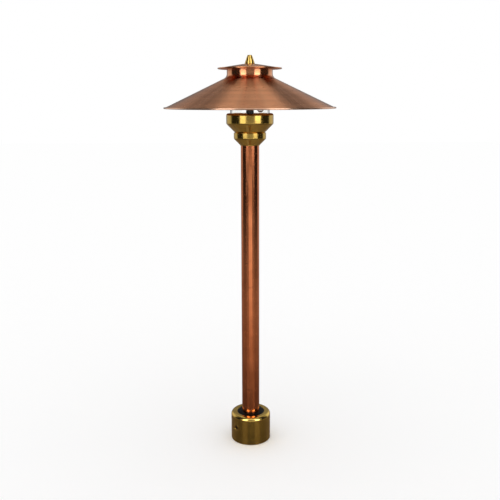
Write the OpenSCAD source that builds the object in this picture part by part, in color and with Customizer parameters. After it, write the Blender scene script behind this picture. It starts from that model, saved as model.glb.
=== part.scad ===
// Hat-style garden path light: spun copper shade and cap, copper stem, brass hub, cup and finial.
// The base of the hub is at z = 0 and the stem's axis is the z axis.

/* [Hub] */
// Radius of the hub
hub_r = 25.2; // [22:0.1:36]
// Height of the hub
hub_h = 36.8; // [34:0.1:60]
// Radius of the rounded shoulder round the hub's top
hub_shoulder_r = 4; // [1:0.1:5]
// Chamfer round the hub's base and the mouth of its socket
hub_chamfer = 0.8; // [0.2:0.1:1.5]
// Wall radius of the threaded socket for a ground stake
stake_socket_r = 9.5; // [6:0.1:10]
// Depth of the threaded socket
stake_socket_depth = 16; // [14:0.5:18]
// Radius of the recess that holds the stem grommet
grommet_r = 17.4; // [14:0.1:20]
// Depth of the recess that holds the stem grommet
grommet_recess = 8.8; // [4:0.1:9]
// How far the grommet's inner edge stands up along the stem
grommet_rise = 1.6; // [0.5:0.1:4]

/* [Set screw] */
// Radius of the set screw
set_screw_r = 2.98; // [2.4:0.01:4]
// How deep the outer end of the set screw lies under the hub's side
set_screw_sunk = 0.44; // [0.3:0.01:3]
// How far the set screw, which grips the stem, lies above the stem's foot
set_screw_rise = 4.7; // [3.5:0.1:8]
// Direction of the set screw, in degrees from +X
set_screw_azimuth = 222; // [0:1:359]
// Width across the flats of the hexagon socket
set_screw_hex = 3; // [2:0.1:4.5]
// Depth of the hexagon socket
set_screw_hex_depth = 3.5; // [2:0.1:6]

/* [Stem] */
// Outer radius of the stem tube
stem_r = 11.11; // [9:0.01:12.5]
// Wall of the stem tube
stem_wall = 1.1; // [0.7:0.1:1.4]
// Length of the stem tube
stem_l = 375; // [200:1:600]

/* [Coupling] */
// Radius of the lower brass tier
coupling_r = 19.25; // [18:0.05:24]
// Length of stem that the coupling covers
coupling_sleeve = 12.1; // [10:0.1:18]
// Wall of the lip that closes on the stem
coupling_lip = 0.8; // [0.5:0.1:2]
// Height of the straight lip
coupling_lip_h = 0.6; // [0.3:0.1:2]
// Thickness of the web over the stem
web_t = 3; // [2.5:0.1:5]
// Rounding where the coupling's cone meets its band
tier_round_r = 3; // [1:0.1:4]
// Radius of the seal ring between the tiers
seal_ring_r = 13.8; // [13:0.1:15]
// Radius of the seal ring's section
seal_section_r = 0.7; // [0.5:0.05:1]

/* [Cup] */
// Wall of the cup beside the glass
cup_wall = 4.1; // [3:0.1:8]
// Height of the cup
cup_h = 22.6; // [20:0.1:32]
// Height of the straight foot under the cup's cone
cup_foot_h = 1.5; // [1:0.1:3]
// Width of the groove between the two tiers
seam_chamfer = 0.4; // [0.2:0.1:1]
// Rounding of the cup's upper edge
cup_edge_r = 2.6; // [1:0.1:3]
// Height of the cup's inner floor above its base
cup_floor_h = 4.6; // [4:0.1:6]
// Height of the glass ledge above the cup's base
ledge_h = 8.6; // [8:0.1:10]
// Width of the glass ledge
ledge_w = 3.8; // [2.5:0.1:4.6]
// Least wall that the cup's cone keeps beside its floor and ledge
cup_cone_wall = 0.9; // [0.6:0.1:1.2]

/* [Glass] */
// Outer radius of the glass chimney
glass_r = 23.4; // [22.2:0.1:30]
// Wall of the glass chimney
glass_wall = 2.4; // [1.5:0.1:3]
// Clearance round the glass in the cup
glass_gap = 0.6; // [0.3:0.1:1.5]
// Thickness of each glass gasket
gasket_t = 1.4; // [0.8:0.1:2]

/* [Centre tube] */
// Outer radius of the centre tube
tube_r = 4.6; // [4:0.1:5]
// Bore radius of the centre tube
tube_bore_r = 3; // [2.5:0.1:3.2]
// Length of centre tube below the web
tube_tail = 6.5; // [5:0.1:12]
// How far a lock washer shows past the corners of its nut
lock_nut_rim = 0.55; // [0.2:0.05:1]
// Thickness of a lock nut
lock_nut_t = 3; // [2:0.1:3.2]
// Clearance between the lock washers and the stem's bore
lock_washer_gap = 1.21; // [0.3:0.01:2]
// Thickness of a lock washer
lock_washer_t = 0.8; // [0.5:0.1:1]

/* [Shade] */
// Outer radius of the shade
shade_r = 101.6; // [80:0.1:150]
// Height of the open gap between cup and shade
gap_h = 5.4; // [3:0.1:15]
// Slope of the shade's cone from level, in degrees
shade_slope = 25.5; // [20:0.5:32]
// Clearance between the glass and the shade's neck
neck_gap = 2.6; // [1:0.1:10]
// Height of the straight neck above the cone's crown
neck_h = 7; // [4:0.1:14]
// Inside radius of the bend between neck and cone
bend_r = 6; // [3:0.5:8]
// Thickness of the spun copper
sheet_t = 0.9; // [0.6:0.1:1.5]
// Radius of the rolled hem round the shade
hem_r = 0.9; // [0.6:0.1:1.5]

/* [Cap] */
// How far the cap reaches past the shade's neck
cap_reach = 10.8; // [6:0.1:20]
// Radius of the cap's level centre
cap_flat_r = 8.5; // [7:0.1:12]
// Fall of the cap from its centre to its hem
cap_fall = 4.5; // [3:0.1:9]
// Radius of the rolled hem round the cap
cap_hem_r = 0.8; // [0.5:0.1:1.2]
// Clear height between the shade's top and the cap at the neck
cap_clear = 0.18; // [0.1:0.01:1]
// Radius of the spacer under the cap
spacer_r = 7; // [5:0.1:8]

/* [Finial] */
// Radius of the finial's base
finial_r = 6.1; // [5.5:0.1:9]
// Radius of the finial's top
finial_tip_r = 2.6; // [2:0.1:4]
// Height of the finial
finial_h = 9.7; // [8:0.1:18]
// Rounding of the finial's tip
finial_round_r = 1; // [0.3:0.1:1.2]
// Radius of the threaded stud
stud_r = 2.4; // [2:0.05:2.5]
// Length of stud that enters the finial
stud_grip = 6.3; // [4:0.1:6.5]
// Length of the stud's root in the centre tube
stud_root = 7; // [4:0.1:7]
// Thickness of the washer under the finial
finial_washer_t = 0.5; // [0.3:0.1:1]

/* [Lamp] */
// Clearance between the centre tube and the lamp's socket
socket_gap = 1.8; // [1.5:0.1:3]
// Radius of the lamp's envelope
lamp_r = 4.6; // [4:0.1:5]
// Length of the lamp's envelope
lamp_l = 36; // [22:0.5:44]
// Radius of a lamp pin
pin_r = 0.35; // [0.3:0.05:0.5]
// Distance between the two lamp pins
pin_pitch = 4; // [4:0.1:4.4]
// Length of pin inside the socket
pin_grip = 6; // [5:0.1:6.5]
// Radius of the ceramic lamp socket
socket_r = 6; // [5.6:0.1:6.8]
// Height of the ceramic lamp socket
socket_h = 10; // [9:0.1:12]
// Thickness of the lamp bracket
bracket_t = 1.2; // [0.8:0.1:1.6]
// Radius of an insulated lead
lead_r = 0.62; // [0.5:0.01:0.64]

/* [Fits] */
// Clearance of a fixed round fit
fit_gap = 0.05; // [0.03:0.01:0.1]
// Clearance between pieces that come apart
free_gap = 0.35; // [0.3:0.05:0.6]

/* [Hidden] */
$fn = 96;
EPS = 0.01;

copper = "peru";
brass = "darkgoldenrod";
black = "#1c1a18";

// Heights that are worked out from angles are rounded, so that pieces meet face to face
function to_hundredth(v) = round(100 * v) / 100;

// Radii that follow the pieces they go round or into
stem_bore_r = stem_r - stem_wall;
stem_seat_r = min(stake_socket_r, stem_bore_r);
stem_seat_t = 1.5;
set_screw_l = hub_r - set_screw_sunk - stem_r - fit_gap;
lock_washer_r = stem_bore_r - lock_washer_gap;
lock_nut_af = (lock_washer_r - lock_nut_rim) * sqrt(3);
cup_bore_r = glass_r + glass_gap;
cup_well_r = cup_bore_r - ledge_w;
cup_r = cup_bore_r + cup_wall;
neck_r = glass_r + neck_gap + sheet_t;
cap_r = neck_r + cap_reach;
lamp_offset = tube_r + socket_gap + socket_r;

// Heights, from the hub's base upwards
stem_z = stake_socket_depth;
set_screw_z = stem_z + set_screw_rise;
stem_top = stem_z + stem_l;
coupling_z = stem_top - coupling_sleeve;
cup_z = stem_top + web_t;
cup_top = cup_z + cup_h;
rim_z = cup_top + gap_h;

// The cup's floor and ledge rise where its cone would leave too thin a wall beside them
function cone_height(r) = cup_foot_h + r + cup_cone_wall - coupling_r;
cup_floor_z = cup_z + max(cup_floor_h, cone_height(cup_well_r));
ledge_z = cup_z + max(ledge_h, cone_height(cup_bore_r));
glass_z = ledge_z + gasket_t;

// The outer face of the shade's cone is a line through the centre of its hem
hem_at = [shade_r - hem_r, rim_z + hem_r];
function cone_z(r, inset) = hem_at[1] + (hem_at[0] - r) * tan(shade_slope) - inset / cos(shade_slope);

// The bend's centre lies outside the metal, bend_r from the neck and from the cone
bend_at = [neck_r + bend_r, cone_z(neck_r + bend_r, 0) + bend_r / cos(shade_slope)];
plate_top = to_hundredth(bend_at[1] + neck_h);
plate_z = plate_top - sheet_t;
glass_top = plate_z - gasket_t;
tube_top = plate_z - free_gap;

// The cap clears the shade's top edge by cap_clear where it passes over the neck
cap_slope = cap_fall / (cap_r - cap_hem_r - cap_flat_r);
cap_under_z = to_hundredth(plate_top + cap_clear + (neck_r - cap_flat_r) * cap_slope);
cap_z = cap_under_z + sheet_t;
finial_z = cap_z + finial_washer_t;
stud_top = finial_z + stud_grip;

// The bracket hangs under its nut at the head of the centre tube
bracket_nut_t = 2;
bracket_z = tube_top - 0.3 - bracket_nut_t - bracket_t;
clip_t = 0.7;
clip_groove_r = tube_r - 0.6;
clip_r = tube_r + 1.3;
socket_z = bracket_z - socket_h;
bracket_screw_r = 0.9;
bracket_screw_offset = socket_r - 2;
bracket_screw_head = [1.6, 1.2];
lamp_top = socket_z - 0.5;
lamp_z = lamp_top - lamp_l;
contact_r = 0.95;
contact_z = socket_z + 1.4;
contact_h = pin_grip;
lead_z = contact_z + 2.2;
lead_spread = lead_r + 0.1;
lead_hole_r = lead_spread + lead_r + 0.61;

// A lead leaves its contact at lead_start and runs straight to the mouth of the tube's grommet
function lead_start(side) = [lamp_offset - contact_r - fit_gap, side * pin_pitch / 2, lead_z];
function lead_mouth(side) = [tube_r + 1.1, side * lead_spread, lead_z];

// The wire connectors hang one under the other inside the stem
connector_r = (stem_bore_r - 1.61) / 2;
connector_h = 20;
connector_offset = connector_r + 0.5;
connector_tops = [stem_z + 124, stem_z + 96];

// A straight ring or tube
module ring(outer_r, inner_r, h) {
    difference() {
        cylinder(r = outer_r, h = h);
        translate([0, 0, -EPS]) cylinder(r = inner_r, h = h + 2 * EPS);
    }
}

// A hexagon nut
module hex_nut(af, bore_r, h) {
    difference() {
        cylinder(r = af / sqrt(3), h = h, $fn = 6);
        translate([0, 0, -EPS]) cylinder(r = bore_r, h = h + 2 * EPS);
    }
}

// Rings of points along a route: each ring is the last one moved along its leg to the mitre plane
WIRE_SIDES = 10;
function unit(v) = v / norm(v);
function leg_dir(points, i) = unit(points[min(i, len(points) - 2) + 1] - points[min(i, len(points) - 2)]);
function mitre_normal(points, i) = unit(leg_dir(points, max(i - 1, 0)) + leg_dir(points, i));
function first_ring(points, r) =
    let (
        dir = leg_dir(points, 0),
        side = unit(cross(dir, abs(dir[2]) < 0.9 ? [0, 0, 1] : [1, 0, 0])),
        up = cross(dir, side)
    )
    [for (k = [0 : WIRE_SIDES - 1])
        points[0] + r * (side * cos(360 * k / WIRE_SIDES) + up * sin(360 * k / WIRE_SIDES))];
function next_ring(ring, points, i) =
    let (dir = leg_dir(points, i - 1), n = mitre_normal(points, i))
    [for (p = ring) p + dir * ((points[i] - p) * n) / (dir * n)];
function rings(points, r, i) =
    i == 0 ? [first_ring(points, r)]
    : let (before = rings(points, r, i - 1)) concat(before, [next_ring(before[i - 1], points, i)]);

// A round wire through a list of points, mitred at every bend
module wire_run(points, r) {
    all = rings(points, r, len(points) - 1);
    last = (len(points) - 1) * WIRE_SIDES;
    polyhedron(
        points = [for (ring = all) for (p = ring) p],
        faces = concat(
            [[for (k = [0 : WIRE_SIDES - 1]) k]],
            [for (i = [0 : len(points) - 2]) for (k = [0 : WIRE_SIDES - 1])
                let (a = i * WIRE_SIDES, j = (k + 1) % WIRE_SIDES)
                [a + j, a + k, a + WIRE_SIDES + k, a + WIRE_SIDES + j]],
            [[for (k = [WIRE_SIDES - 1 : -1 : 0]) last + k]]
        )
    );
}

// Outline of a brass tier: a 45 degree cone, a rounded corner and a straight band
module tier_outline(foot_r, foot_z, cone_start_z, band_r, top_z, top_cut) {
    corner_z = cone_start_z + band_r - foot_r;
    round_r = min(tier_round_r, (top_z - top_cut - corner_z) / (1 + tan(22.5)));
    tangent = round_r * tan(22.5);
    union() {
        polygon([
            [0, foot_z],
            [foot_r, foot_z],
            [foot_r, cone_start_z],
            [band_r - tangent * cos(45), corner_z - tangent * sin(45)],
            [band_r, corner_z + tangent],
            [band_r, top_z - top_cut],
            [band_r - top_cut, top_z],
            [0, top_z]
        ]);
        translate([band_r - round_r, corner_z + tangent]) circle(r = round_r);
    }
}

module hub_outline() {
    difference() {
        union() {
            polygon([
                [0, 0],
                [hub_r - hub_chamfer, 0],
                [hub_r, hub_chamfer],
                [hub_r, hub_h - hub_shoulder_r],
                [hub_r - hub_shoulder_r, hub_h - hub_shoulder_r],
                [hub_r - hub_shoulder_r, hub_h],
                [0, hub_h]
            ]);
            translate([hub_r - hub_shoulder_r, hub_h - hub_shoulder_r]) circle(r = hub_shoulder_r);
        }
        polygon([
            [-1, -1],
            [stake_socket_r + hub_chamfer + 1, -1],
            [stake_socket_r, hub_chamfer],
            [stake_socket_r, stem_z - stem_seat_t],
            [stem_seat_r, stem_z - stem_seat_t],
            [stem_seat_r, stem_z],
            [stem_r + fit_gap, stem_z],
            [stem_r + fit_gap, hub_h - grommet_recess],
            [grommet_r, hub_h - grommet_recess],
            [grommet_r, hub_h + 1],
            [-1, hub_h + 1]
        ]);
    }
}

// The threaded hole for the set screw runs in from the side to the stem's bore
module hub() {
    color(brass) difference() {
        rotate_extrude() hub_outline();
        translate([0, 0, set_screw_z]) rotate([0, 90, set_screw_azimuth])
            cylinder(r = set_screw_r + fit_gap, h = hub_r + 1);
    }
}

// A headless brass screw with a hexagon socket, gripping the stem
module hub_set_screw() {
    color(brass) translate([0, 0, set_screw_z]) rotate([0, 90, set_screw_azimuth])
        translate([0, 0, stem_r + fit_gap]) difference() {
            rotate_extrude() polygon([
                [0, 0.8],
                [set_screw_r - 1.8, 0],
                [set_screw_r - 1, 0],
                [set_screw_r, 1],
                [set_screw_r, set_screw_l - 0.5],
                [set_screw_r - 0.5, set_screw_l],
                [0, set_screw_l]
            ]);
            translate([0, 0, set_screw_l - set_screw_hex_depth])
                cylinder(r = set_screw_hex / sqrt(3), h = set_screw_hex_depth + 1, $fn = 6);
        }
}

// The grommet's crown is a dome that rises from the hub's recess to the stem
module stem_grommet() {
    inner = stem_r + fit_gap;
    outer = grommet_r - fit_gap;
    edge_z = hub_h - 0.5;
    crown = (pow(outer - inner, 2) + pow(grommet_rise, 2)) / (2 * grommet_rise);
    color(black) rotate_extrude() difference() {
        translate([inner, hub_h - grommet_recess])
            square([outer - inner, grommet_recess - 0.5 + grommet_rise]);
        difference() {
            translate([inner - 1, edge_z]) square([outer - inner + 2, grommet_rise + 1]);
            translate([inner, edge_z + grommet_rise - crown]) circle(r = crown);
        }
    }
}

module stem_tube() {
    color(copper) translate([0, 0, stem_z]) ring(stem_r, stem_bore_r, stem_l);
}

// The lower tier is soldered on the stem, and its web carries the centre tube
module stem_coupling() {
    foot_r = stem_r + fit_gap + coupling_lip;
    color(brass) rotate_extrude() difference() {
        tier_outline(foot_r, coupling_z, coupling_z + coupling_lip_h, coupling_r, cup_z, seam_chamfer);
        translate([-1, coupling_z - 1]) square([stem_r + fit_gap + 1, coupling_sleeve + 1]);
        translate([-1, stem_top - 1]) square([tube_r + fit_gap + 1, web_t + 2]);
        translate([seal_ring_r - seal_section_r - 0.2, cup_z - 2 * seal_section_r])
            square([2 * seal_section_r + 0.4, 2 * seal_section_r + 1]);
    }
}

module coupling_seal() {
    color(black) rotate_extrude()
        translate([seal_ring_r, cup_z - seal_section_r]) circle(r = seal_section_r);
}

// The upper tier is a cup: a floor, a ledge for the glass and a straight wall
module glass_holder() {
    foot_r = coupling_r;
    color(brass) rotate_extrude() difference() {
        union() {
            difference() {
                tier_outline(foot_r, cup_z, cup_z + cup_foot_h, cup_r, cup_top, cup_edge_r);
                translate([foot_r - seam_chamfer, cup_z]) rotate(-45) square(2, center = true);
            }
            translate([cup_r - cup_edge_r, cup_top - cup_edge_r]) circle(r = cup_edge_r);
        }
        translate([-1, ledge_z]) square([cup_bore_r + 1, cup_h]);
        translate([-1, cup_floor_z]) square([cup_well_r + 1, cup_h]);
        translate([-1, cup_z - 1]) square([tube_r + fit_gap + 1, cup_h]);
    }
}

module glass_gasket() {
    color(black) translate([0, 0, ledge_z])
        ring(cup_bore_r - fit_gap, glass_r - glass_wall - 0.4, gasket_t);
}

// The centre tube carries the leads up and the shade's load down
module center_tube() {
    color(black) difference() {
        translate([0, 0, stem_top - tube_tail])
            ring(tube_r, tube_bore_r, tube_top - stem_top + tube_tail);
        translate([0, 0, lead_z]) rotate([0, 90, 0]) cylinder(r = lead_hole_r, h = tube_r + 1);
        translate([0, 0, bracket_z - clip_t - fit_gap])
            ring(tube_r + 1, clip_groove_r, clip_t + fit_gap);
    }
}

module tube_washers() {
    color("silver") for (z = [stem_top - lock_washer_t, cup_floor_z])
        translate([0, 0, z]) ring(lock_washer_r, tube_r + fit_gap, lock_washer_t);
}

module tube_lock_nuts() {
    below = stem_top - lock_washer_t - lock_nut_t;
    above = cup_floor_z + lock_washer_t;
    color("silver") for (z = [below, above])
        translate([0, 0, z]) hex_nut(lock_nut_af, tube_r + fit_gap, lock_nut_t);
}

// The stud's root fills the head of the centre tube, and its thread runs up into the finial
module top_stud() {
    color(brass) union() {
        translate([0, 0, tube_top - stud_root]) cylinder(r = tube_bore_r - fit_gap, h = stud_root);
        translate([0, 0, tube_top - EPS]) cylinder(r = stud_r, h = stud_top - tube_top - 0.4 + EPS);
        translate([0, 0, stud_top - 0.4]) cylinder(r1 = stud_r, r2 = stud_r - 0.4, h = 0.4);
    }
}

module lamp_bracket() {
    color("silver") translate([0, 0, bracket_z]) difference() {
        union() {
            cylinder(r = tube_r + 2.8, h = bracket_t);
            translate([0, -socket_r, 0]) cube([lamp_offset, 2 * socket_r, bracket_t]);
            translate([lamp_offset, 0, 0]) cylinder(r = socket_r, h = bracket_t);
        }
        translate([0, 0, -1]) cylinder(r = tube_r + fit_gap, h = bracket_t + 2);
        for (side = [-1, 1])
            translate([lamp_offset + side * bracket_screw_offset, 0, -1])
                cylinder(r = bracket_screw_r + fit_gap, h = bracket_t + 2, $fn = 32);
    }
}

// An open retaining ring in the tube's groove, under the bracket
module bracket_clip() {
    color("#3c3a36") translate([0, 0, bracket_z - clip_t]) difference() {
        ring(clip_r, clip_groove_r + fit_gap, clip_t);
        translate([-clip_r - 1, -1.6, -1]) cube([clip_r + 1, 3.2, clip_t + 2]);
    }
}

module bracket_nut() {
    color("silver") translate([0, 0, bracket_z + bracket_t]) rotate(30)
        hex_nut(2 * tube_r + 2.6, tube_r + fit_gap, bracket_nut_t);
}

module bracket_screws() {
    shank = bracket_t + 4.5;
    color("silver") for (side = [-1, 1])
        translate([lamp_offset + side * bracket_screw_offset, 0, bracket_z + bracket_t])
            difference() {
                union() {
                    cylinder(r = bracket_screw_head[0], h = bracket_screw_head[1], $fn = 32);
                    translate([0, 0, -shank]) cylinder(r = bracket_screw_r, h = shank + EPS, $fn = 32);
                }
                translate([0, 0, bracket_screw_head[1]]) cube([4, 0.5, 1.2], center = true);
            }
}

// Ceramic body with two contact wells, two pin holes, two lead channels and two screw holes
module lamp_socket() {
    color("ivory") difference() {
        translate([lamp_offset, 0, socket_z]) cylinder(r = socket_r, h = socket_h);
        for (side = [-1, 1]) {
            translate([lamp_offset, side * pin_pitch / 2, 0]) {
                translate([0, 0, contact_z])
                    cylinder(r = contact_r + fit_gap, h = contact_h + 0.4, $fn = 32);
                translate([0, 0, socket_z - 1]) cylinder(r = pin_r + 0.25, h = 3, $fn = 32);
            }
            lead = lead_mouth(side) - lead_start(side);
            translate(lead_start(side)) rotate([0, 90, atan2(lead[1], lead[0])])
                translate([0, 0, -0.4]) cylinder(r = lead_r + fit_gap, h = norm(lead), $fn = 32);
            translate([lamp_offset + side * bracket_screw_offset, 0, bracket_z - 4.7])
                cylinder(r = bracket_screw_r + fit_gap, h = 5, $fn = 32);
        }
    }
}

module socket_contacts() {
    color(brass) for (side = [-1, 1])
        translate([lamp_offset, side * pin_pitch / 2, contact_z]) difference() {
            cylinder(r = contact_r, h = contact_h, $fn = 32);
            translate([0, 0, -1]) cylinder(r = pin_r + fit_gap, h = contact_h + 0.5, $fn = 32);
        }
}

// A sleeve in the tube's side hole, with a flange outside it
module tube_grommet() {
    color(black) translate([0, 0, lead_z]) rotate([0, 90, 0]) difference() {
        union() {
            translate([0, 0, tube_bore_r - 0.2])
                cylinder(r = lead_hole_r - fit_gap, h = tube_r - tube_bore_r + 0.6, $fn = 32);
            translate([0, 0, tube_r + fit_gap]) cylinder(r = lead_hole_r + 0.6, h = 0.7, $fn = 32);
        }
        cylinder(r = lead_spread + lead_r + 0.08, h = 2 * tube_r, $fn = 32);
    }
}

// Each lead runs from its contact, through the grommet and down the tube to its connector
module lead_wires() {
    color("white") for (i = [0, 1]) {
        side = 1 - 2 * i;
        wire_run([
            lead_start(side),
            lead_mouth(side),
            [1.5, side * lead_spread, lead_z],
            [0, side * lead_spread, lead_z - 2.5],
            [0, side * lead_spread, connector_tops[i] + 22],
            [0, side * connector_offset, connector_tops[i] + 8],
            [0, side * connector_offset, connector_tops[i] - 10]
        ], lead_r);
    }
}

// Two insulating caps twisted over the ends of the leads
module wire_connectors() {
    color("#27406b") for (i = [0, 1]) {
        side = 1 - 2 * i;
        translate([0, side * connector_offset, connector_tops[i] - connector_h]) rotate_extrude()
            difference() {
                polygon([
                    [0, 0],
                    [connector_r - 1.6, 0],
                    [connector_r - 1, 1],
                    [connector_r, connector_h - 5],
                    [connector_r, connector_h],
                    [0, connector_h]
                ]);
                translate([-1, connector_h - 10]) square([lead_r + fit_gap + 1, 11]);
            }
    }
}

module glass_chimney() {
    color("lightcyan", 0.4) translate([0, 0, glass_z])
        ring(glass_r, glass_r - glass_wall, glass_top - glass_z);
}

// Everything under the shade's outer face, moved in by inset, with the bend filled in
module shade_outline(inset) {
    r = neck_r - inset;
    bend = bend_r + inset;
    low_z = rim_z - 20;
    union() {
        polygon([
            [-1, low_z],
            [hem_at[0], low_z],
            [hem_at[0], cone_z(hem_at[0], inset)],
            [r, cone_z(r, inset)],
            [r, plate_top - inset],
            [-1, plate_top - inset]
        ]);
        difference() {
            polygon([
                [r - EPS, cone_z(r, inset)],
                [bend_at[0] - bend * sin(shade_slope), bend_at[1] - bend * cos(shade_slope)],
                [r, bend_at[1]]
            ]);
            translate(bend_at) circle(r = bend);
        }
    }
}

module shade() {
    color(copper) rotate_extrude() difference() {
        union() {
            difference() {
                shade_outline(0);
                shade_outline(sheet_t);
            }
            translate(hem_at) circle(r = hem_r);
        }
        translate([-2, plate_z - 1]) square([stud_r + free_gap + 2, sheet_t + 2]);
    }
}

// The cap's edge is rolled under into a hem
module shade_cap() {
    edge_z = cap_z - cap_fall;
    color(copper) rotate_extrude() union() {
        polygon([
            [stud_r + free_gap, cap_under_z],
            [cap_flat_r, cap_under_z],
            [cap_r - cap_hem_r, edge_z - sheet_t],
            [cap_r - cap_hem_r, edge_z],
            [cap_flat_r, cap_z],
            [stud_r + free_gap, cap_z]
        ]);
        translate([cap_r - cap_hem_r, edge_z - sheet_t / 2]) circle(r = cap_hem_r);
    }
}

module cap_spacer() {
    color(brass) translate([0, 0, plate_top])
        ring(spacer_r, stud_r + free_gap, cap_under_z - plate_top);
}

module upper_gasket() {
    color(black) translate([0, 0, glass_top])
        ring(glass_r + 0.5, glass_r - glass_wall - 0.4, gasket_t);
}

module finial_washer() {
    color(brass) translate([0, 0, cap_z])
        ring(finial_r - 0.5, stud_r + free_gap, finial_washer_t);
}

// A tapered knob with a rounded tip and a blind threaded bore
module finial() {
    side = norm([finial_r - finial_tip_r, finial_h]);
    out = [finial_h / side, (finial_r - finial_tip_r) / side];
    round_z = finial_h - finial_round_r;
    round_at = [finial_r - (finial_round_r + out[1] * round_z) / out[0], round_z];
    color(brass) translate([0, 0, finial_z]) rotate_extrude() difference() {
        union() {
            polygon([
                [0, 0],
                [finial_r, 0],
                round_at + finial_round_r * out,
                [round_at[0], finial_h],
                [0, finial_h]
            ]);
            translate(round_at) circle(r = finial_round_r);
        }
        translate([-finial_r, -1]) square([finial_r + stud_r + fit_gap, stud_grip + 1.4]);
        translate([-2 * finial_r, -1]) square([2 * finial_r, finial_h + 2]);
    }
}

// A sealed glass capsule: a round bulb with a flat pressed neck
module lamp_capsule() {
    wall = 0.8;
    neck_l = 7;
    color("lightcyan", 0.5) translate([lamp_offset, 0, lamp_z]) difference() {
        union() {
            translate([0, 0, lamp_r]) sphere(r = lamp_r, $fn = 48);
            translate([0, 0, lamp_r]) cylinder(r = lamp_r, h = lamp_l - neck_l - lamp_r, $fn = 48);
            translate([-1.6, -lamp_r + 0.3, lamp_r])
                cube([3.2, 2 * lamp_r - 0.6, lamp_l - lamp_r]);
        }
        translate([0, 0, lamp_r]) sphere(r = lamp_r - wall, $fn = 48);
        translate([0, 0, lamp_r]) cylinder(r = lamp_r - wall, h = lamp_l - neck_l - lamp_r - wall, $fn = 48);
        for (side = [-1, 1]) translate([0, side * pin_pitch / 2, lamp_l - neck_l - wall - 1])
            cylinder(r = pin_r, h = neck_l + 5, $fn = 24);
    }
}

module lamp_pins() {
    low = lamp_top - 7 - 1;
    color("silver") for (side = [-1, 1])
        translate([lamp_offset, side * pin_pitch / 2, low])
            cylinder(r = pin_r, h = contact_z + pin_grip - 0.8 - low, $fn = 24);
}

// A level coil across the bulb, joined to the feet of the two pins
module lamp_filament() {
    coil_z = lamp_z + lamp_r + 6;
    pins_low = lamp_top - 7 - 1;
    color("silver") wire_run([
        [lamp_offset, -pin_pitch / 2, pins_low],
        [lamp_offset, -pin_pitch / 2, coil_z],
        [lamp_offset, pin_pitch / 2, coil_z],
        [lamp_offset, pin_pitch / 2, pins_low]
    ], 0.25);
}

hub();
hub_set_screw();
stem_grommet();
stem_tube();
stem_coupling();
coupling_seal();
glass_holder();
glass_gasket();
center_tube();
tube_washers();
tube_lock_nuts();
top_stud();
lamp_bracket();
bracket_clip();
bracket_nut();
bracket_screws();
lamp_socket();
socket_contacts();
tube_grommet();
lead_wires();
wire_connectors();
glass_chimney();
shade();
shade_cap();
cap_spacer();
upper_gasket();
finial_washer();
finial();
lamp_capsule();
lamp_pins();
lamp_filament();
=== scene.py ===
import math

import bpy
from mathutils import Matrix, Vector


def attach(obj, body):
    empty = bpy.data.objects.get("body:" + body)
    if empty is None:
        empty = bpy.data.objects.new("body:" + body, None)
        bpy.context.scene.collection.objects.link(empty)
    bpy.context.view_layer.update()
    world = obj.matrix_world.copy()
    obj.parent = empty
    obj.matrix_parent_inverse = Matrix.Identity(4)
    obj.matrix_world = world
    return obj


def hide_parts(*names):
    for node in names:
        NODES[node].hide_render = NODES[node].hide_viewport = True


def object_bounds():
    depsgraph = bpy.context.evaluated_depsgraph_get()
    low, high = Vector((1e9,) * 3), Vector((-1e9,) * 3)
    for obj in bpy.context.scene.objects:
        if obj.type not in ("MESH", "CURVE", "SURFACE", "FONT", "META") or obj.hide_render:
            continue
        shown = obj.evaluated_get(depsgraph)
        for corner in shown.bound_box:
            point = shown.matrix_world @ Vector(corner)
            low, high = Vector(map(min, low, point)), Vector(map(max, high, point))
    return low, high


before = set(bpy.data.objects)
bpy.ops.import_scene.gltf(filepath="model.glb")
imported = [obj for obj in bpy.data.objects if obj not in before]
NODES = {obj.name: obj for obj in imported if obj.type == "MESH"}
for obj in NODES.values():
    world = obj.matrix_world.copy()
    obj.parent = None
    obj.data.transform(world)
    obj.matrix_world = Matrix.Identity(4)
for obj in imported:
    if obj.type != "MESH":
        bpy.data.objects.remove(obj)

CAD_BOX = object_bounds()

# Sizes of the light in millimetres, from the ground upwards. R is a radius from the light's axis, and
# Z, FOOT and TOP are heights above the hub's base.
HUB_R = 25.2
HUB_H = 36.8
HUB_CHAMFER = 0.8
STAKE_R = 9.5
RECESS_Z = 28.0
GROMMET_R = 17.4
SCREW_HOLE_R = 3.03
SCREW_Z = 20.7
SCREW_AZIMUTH = 222.0
STEM_R = 11.11
STEM_BORE_R = 10.01
STEM_HOLE_R = STEM_R + 0.05
STEM_FOOT = 16.0
STEM_TOP = 391.0
LIP_R = 11.96
LIP_Z = 378.9
TIER_R = 19.25
TUBE_HOLE_R = 4.65
SEAL_Z = 392.6
CUP_Z = 394.0
CUP_R = 28.1
CUP_TOP = 416.6
WELL_R = 24.0
LEDGE_Z = 402.6
GASKET_BORE_R = 20.6
GLASS_R = 23.4
GLASS_BORE_R = 21
GLASS_Z = 404.0
GLASS_TOP = 466.59
LAMP_X = 12.4
COIL_Z = 428.24
PIN_FOOT = 445.64
SLOPE = math.tan(math.radians(25.5))
SHEET = 0.9
HEM_H = 1.8
RIM_Z = 422.0
SHADE_R = 101.6
CONE_FOOT_R = 100.7
NECK_R = 26.9
NECK_BORE_R = 26.0
PLATE_Z = 467.99
PLATE_TOP = 468.89
CAP_R = 37.7
CAP_UNDER = 471.99
CAP_TOP = 472.89
STUD_FOOT = 467.64
STUD_TOP = 479.69
STUD_HOLE_R = 2.75
FINIAL_Z = 473.39
FINIAL_TOP = 483.09


def mm(length):
    """Millimetres to the frame's metres."""
    return length / 1000


def paint(code):
    """A colour's sRGB hex code as linear red, green and blue, with a full alpha."""
    shares = [int(code[i:i + 2], 16) / 255 for i in (1, 3, 5)]
    return [s / 12.92 if s <= 0.04045 else ((s + 0.055) / 1.055) ** 2.4 for s in shares] + [1.0]


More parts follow.
